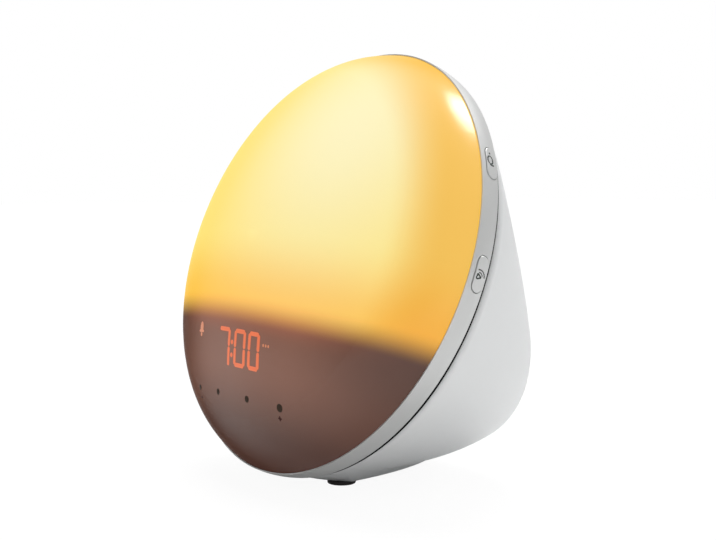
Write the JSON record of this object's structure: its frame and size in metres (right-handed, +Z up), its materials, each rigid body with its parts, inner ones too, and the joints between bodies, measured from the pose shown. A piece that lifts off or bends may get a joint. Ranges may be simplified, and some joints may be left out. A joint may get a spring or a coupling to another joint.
{
  "type": "sunrise alarm clock",
  "caption": "Round domed sunrise alarm light leaning back on a tapered white housing, with a silver rim, side buttons, a display behind the dome, a rear speaker and rubber feet.",
  "frame": {"origin": "middle of the footprint box, on the surface that the feet stand on", "axes": "+Z up, the lit face looks along -Y and leans back, +X to the right hand of the light as drawn in front view, the buttons are at both ends of X"},
  "size_m": [0.1938, 0.115, 0.1875],
  "materials": {
    "diffuser": "frosted, lit from behind",
    "ring_silver": "satin silver paint",
    "frame_black": "fine matt",
    "circuit_board": "solder mask",
    "switch_black": "matt",
    "reflector_white": "bright white",
    "led_board_white": "white solder mask",
    "led_yellow": "phosphor",
    "screw_steel": "zinc plated",
    "display_black": "black lens",
    "segments_amber": "lit",
    "foam_black": "foam",
    "can_steel": "tinned",
    "can_aluminium": "plain",
    "housing_white": "moulded white",
    "foot_rubber": "matt",
    "basket_black": "black",
    "cone_black": "paper cone",
    "magnet_dark": "ferrite",
    "pin_nickel": "nickel plated",
    "pale_rubber": "light grey"
  },
  "bodies": {
    "clock": {"aerial_grommet": "pale_rubber", "backup_capacitor": "can_aluminium", "board_screws": "screw_steel", "control_chips": "switch_black", "dc_jack": "switch_black", "display_board": "circuit_board", "display_module": "display_black", "display_segments": "segments_amber", "display_tray": "frame_black", "front_diffuser": "diffuser", "front_feet": "foot_rubber", "housing_screws": "screw_steel", "inner_frame": "frame_black", "jack_pin": "pin_nickel", "key_boards": "circuit_board", "led_array": "led_yellow", "led_board": "led_board_white", "light_baffle": "reflector_white", "main_board": "circuit_board", "radio_tuner": "can_steel", "rear_foot": "pale_rubber", "rear_housing": "housing_white", "reflector_bowl": "reflector_white", "reflector_screws": "screw_steel", "speaker_basket": "basket_black", "speaker_cone": "cone_black", "speaker_gasket": "foam_black", "speaker_magnet": "magnet_dark", "speaker_screws": "screw_steel", "tact_switches": "switch_black", "touch_board": "circuit_board", "touch_pads": "foam_black", "tray_screws": "screw_steel", "trim_ring": "ring_silver"},
    "button_right_lower": {"button_right_lower": "ring_silver", "plunger_right_lower": "switch_black"},
    "button_right_upper": {"button_right_upper": "ring_silver", "plunger_right_upper": "switch_black"},
    "button_left_lower": {"button_left_lower": "ring_silver", "plunger_left_lower": "switch_black"},
    "button_left_upper": {"button_left_upper": "ring_silver", "plunger_left_upper": "switch_black"}
  },
  "joints": [
    {"name": "press_right_lower", "type": "slide", "parent": "clock", "child": "button_right_lower", "axis": [-1, 0, 0], "range_m": [0, 0.0006], "stiffness_N_per_m": 1500},
    {"name": "press_right_upper", "type": "slide", "parent": "clock", "child": "button_right_upper", "axis": [-0.8829, -0.1629, -0.4403], "range_m": [0, 0.0006], "stiffness_N_per_m": 1500},
    {"name": "press_left_lower", "type": "slide", "parent": "clock", "child": "button_left_lower", "axis": [1, 0, 0], "range_m": [0, 0.0006], "stiffness_N_per_m": 1500},
    {"name": "press_left_upper", "type": "slide", "parent": "clock", "child": "button_left_upper", "axis": [0.8829, -0.1629, -0.4403], "range_m": [0, 0.0006], "stiffness_N_per_m": 1500}
  ]
}
